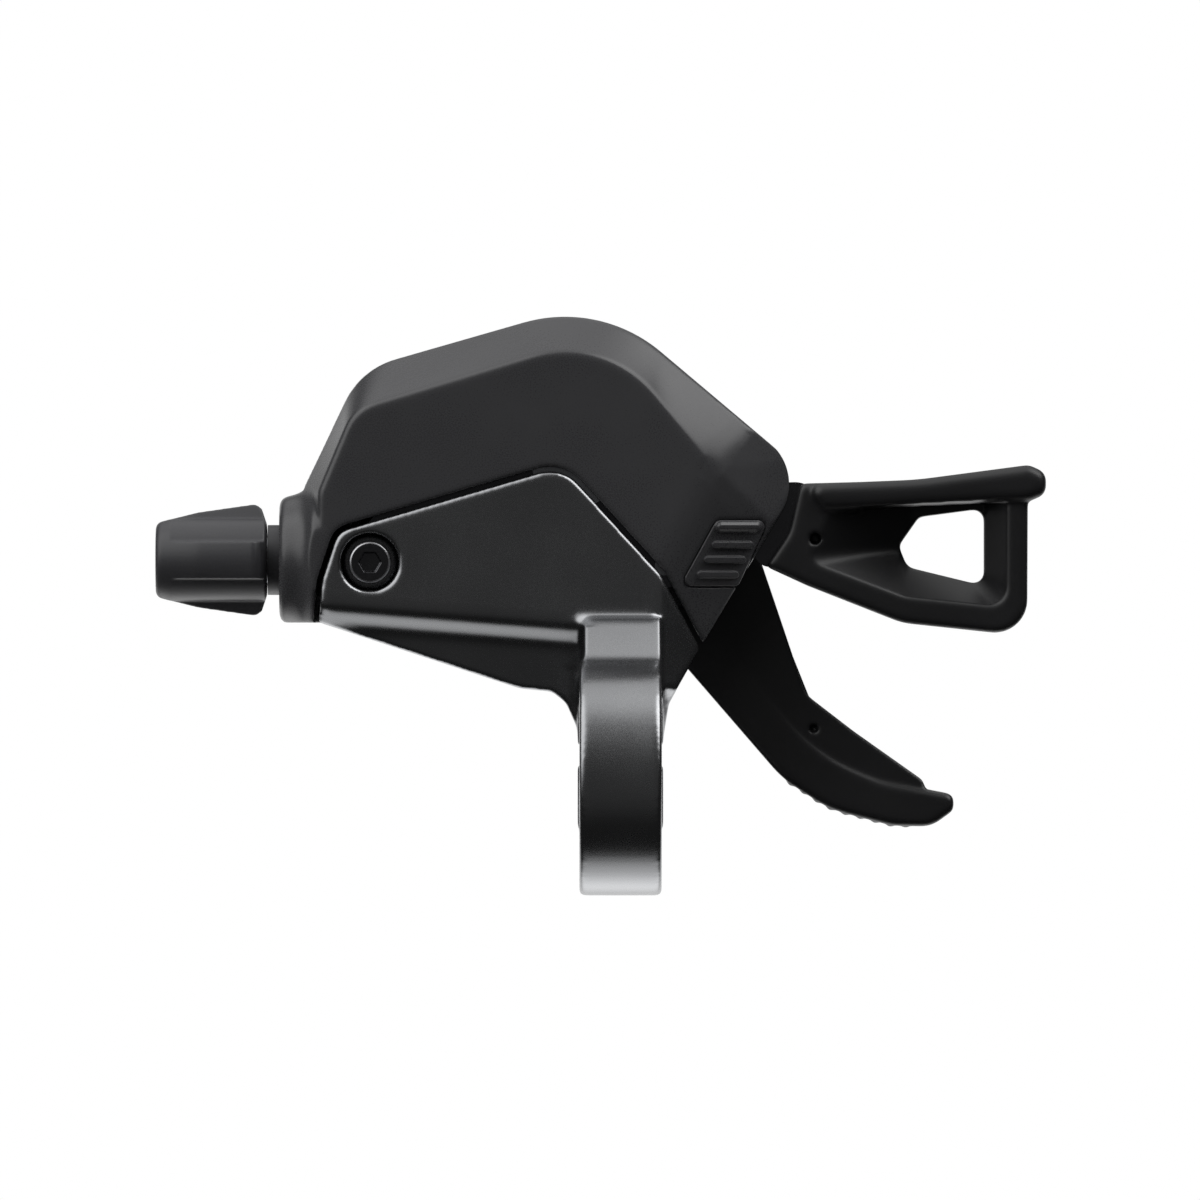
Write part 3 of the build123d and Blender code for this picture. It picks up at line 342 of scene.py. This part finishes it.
soft_edged("front_cover", "housing", nylon, cell_mm=0.30, passes=4,
           blocks_mm=[corner_rib], rolled=on_end_crease, trimmed=as_moulded)


# Cable port cap: ribbed plug in the end facet, pulled out to thread a new cable.
# Moulded in the same black nylon.
soft_edged("cable_port_cap", "housing", nylon, cell_mm=0.09, passes=2)


# Rear cover and its two pan head screws: they close the housing from behind.
# The cover is moulded in black nylon; the screws are blackened steel.
finish_node("rear_cover", nylon)
finish_node("rear_cover_screws", black_oxide)


# Thumb lever: a moulded paddle with a deep ribbed pad on a steel arm.
# The arm is stamped and blackened; the paddle is moulded round it in black filled nylon.
# Lever nylon: a deeper black than the housing, with a duller sheen.
lever_nylon = grained_finish("smooth_moulded_lever_nylon", "#1a1a1b", "#202022", grain_mm=0.2,
                             roughness=0.40, spread=0.04, bump_mm=0.012, ior=1.53)
finish_node("thumb_arm", black_oxide)
soft_edged("thumb_paddle", "thumb_lever", lever_nylon, cell_mm=0.24, passes=4)


# Release lever: a moulded finger frame with a sloped pocket and a window, on a steel arm.
# The arm turns on a steel pin with a spring clip; the frame is moulded in black filled nylon.
finish_node("release_arm", black_oxide)
finish_node("release_pin", zinc)
finish_node("release_clip", spring_steel)
# The slope below the finger bar: its ends, its foot, the bar's rising underside and the face of
# the frame, which stays.
slope_left_x, slope_right_x, slope_foot_z = 31, 49.5, 33
bar_x, bar_z, bar_rise = 30, 34.3, 0.055
face_y = 8.8
# The pocket's floor falls back from its left end, levels out and comes forward again at the right.
floor_left_x, floor_left_y, floor_fall = 26.3, 9.3, 0.4675
floor_level_y = 14.6
floor_right_x, floor_right_y, floor_rise = 47, 14.25, 1.84


def down_to_pocket_floor(place):
    """A point of the frame, pressed back to the pocket's floor if it is on that slope."""
    bar_underside_z = bar_z + (place.x - bar_x) * bar_rise
    on_slope = slope_left_x < place.x < slope_right_x and slope_foot_z < place.z < bar_underside_z
    floor_y = min(floor_left_y + (place.x - floor_left_x) * floor_fall, floor_level_y,
                  floor_right_y - (place.x - floor_right_x) * floor_rise)
    if on_slope and place.y > face_y:
        return Vector((place.x, max(place.y, floor_y), place.z))
    return place


soft_edged("release_paddle", "release_lever", lever_nylon, cell_mm=0.22, passes=8,
           trimmed=down_to_pocket_floor)


# Cable adjuster: threaded stem in a brass insert, with a smooth sleeve and a three-ribbed knob.
# The stem is plated steel, the insert is turned brass, the sleeve and the knob are moulded nylon.
# Knob nylon: the same resin in a slightly greyer black.
knob_nylon = grained_finish("moulded_knob_nylon", "#3d3d40", "#454548", grain_mm=0.2,
                            roughness=0.42, spread=0.04, bump_mm=0.012, ior=1.53)
# Brass: yellow metal with a soft, faintly grained shine.
brass = grained_finish("machined_brass", "#b08d45", "#c09a50", grain_mm=0.4,
                       roughness=0.30, spread=0.05, bump_mm=0.004, metallic=1.0)
finish_node("adjuster_insert", brass)
finish_node("adjuster_stem", zinc)
finish_node("adjuster_sleeve", knob_nylon)
soft_edged("adjuster_knob", "adjuster_knob", knob_nylon, cell_mm=0.16, passes=3)


# Floor: a plain pale round floor below and behind the shifter, which hangs as on a handlebar.
# It is left out of reflections, where the white that the light has below stands in for it.
floor_radius = 1.2
floor_height = -0.16
floor_front = -0.03
shape = bmesh.new()
bmesh.ops.create_circle(shape, cap_ends=True, segments=96, radius=floor_radius)
bmesh.ops.translate(shape, verts=shape.verts, vec=(0, floor_front + floor_radius, floor_height))
floor_mesh = bpy.data.meshes.new("floor")
shape.to_mesh(floor_mesh)
shape.free()
floor = bpy.data.objects.new("floor", floor_mesh)
bpy.context.scene.collection.objects.link(floor)
# Matt paint: even and pale, with no shine.
floor_paint = bpy.data.materials.new("matt_white_floor_paint")
floor_paint.use_nodes = True
floor_shader = floor_paint.node_tree.nodes["Principled BSDF"]
floor_shader.inputs["Base Color"].default_value = linear("#ededed")
floor_shader.inputs["Roughness"].default_value = 0.9
floor_mesh.materials.append(floor_paint)
floor.visible_glossy = False


# Studio light: soft panels, dim in front, bright above and on both sides, white below and behind.
# Each panel is a direction, the cosines between which it fades in, and its strength; 1 is white.
# The camera sees plain white in place of the panels.
light_panels = [
    ((0.0, 0.22, 0.97), (0.62, 0.97), 0.85),
    ((-0.68, -0.40, 0.61), (0.70, 0.97), 1.7),
    ((0.60, -0.25, 0.76), (0.86, 0.985), 2.9),
    ((0.0, 0.45, -0.89), (0.80, 0.97), 0.95),
    ((0.0, 0.92, -0.38), (0.55, 0.95), 1.0),
    ((0.0, -1.0, 0.1), (0.60, 0.95), 0.04),
]
between_panels = 0.02
world = bpy.data.worlds.new("studio")
bpy.context.scene.world = world
world.use_nodes = True
tree = world.node_tree
tree.nodes.clear()
towards = add_node(tree, "ShaderNodeTexCoord")
light = add_node(tree, "ShaderNodeValue").outputs["Value"]
light.default_value = between_panels
for direction, (fade_start, fade_end), strength in light_panels:
    lean = add_node(tree, "ShaderNodeVectorMath", {0: towards.outputs["Generated"]},
                    {1: Vector(direction).normalized()}, operation="DOT_PRODUCT")
    panel = add_node(tree, "ShaderNodeMapRange", {"Value": lean.outputs["Value"]},
                     {"From Min": fade_start, "From Max": fade_end, "To Max": strength},
                     interpolation_type="SMOOTHSTEP")
    added = add_node(tree, "ShaderNodeMath", {0: light, 1: panel.outputs["Result"]},
                     operation="ADD")
    light = added.outputs["Value"]
path = add_node(tree, "ShaderNodeLightPath")
seen = add_node(tree, "ShaderNodeMath", {0: path.outputs["Is Camera Ray"],
                                         1: path.outputs["Is Transmission Ray"]},
                operation="MAXIMUM")
room = add_node(tree, "ShaderNodeBackground", {"Strength": light}, {"Color": linear("#ffffff")})
white = add_node(tree, "ShaderNodeBackground",
                 inputs={"Color": linear("#ffffff"), "Strength": 1.0})
mixed = add_node(tree, "ShaderNodeMixShader",
                 {0: seen.outputs["Value"], 1: room.outputs[0], 2: white.outputs[0]})
add_node(tree, "ShaderNodeOutputWorld", {"Surface": mixed.outputs[0]})


# Camera: level with the shifter and straight at the rider's side of the housing.
# It stands far off behind a long lens, so the view is nearly flat.
view_width = 0.1536
view_centre = (-0.00262, 0.004, 0.02266)
lens_distance = 2.6
camera_data = bpy.data.cameras.new("camera")
camera_data.sensor_width = 36.0
camera_data.lens = camera_data.sensor_width * lens_distance / view_width
camera_data.clip_end = 20.0
camera = bpy.data.objects.new("camera", camera_data)
camera.location = (view_centre[0], view_centre[1] - lens_distance, view_centre[2])
camera.rotation_euler = (math.radians(90), 0, 0)
bpy.context.scene.collection.objects.link(camera)
bpy.context.scene.camera = camera
bpy.context.scene.view_settings.view_transform = "Standard"
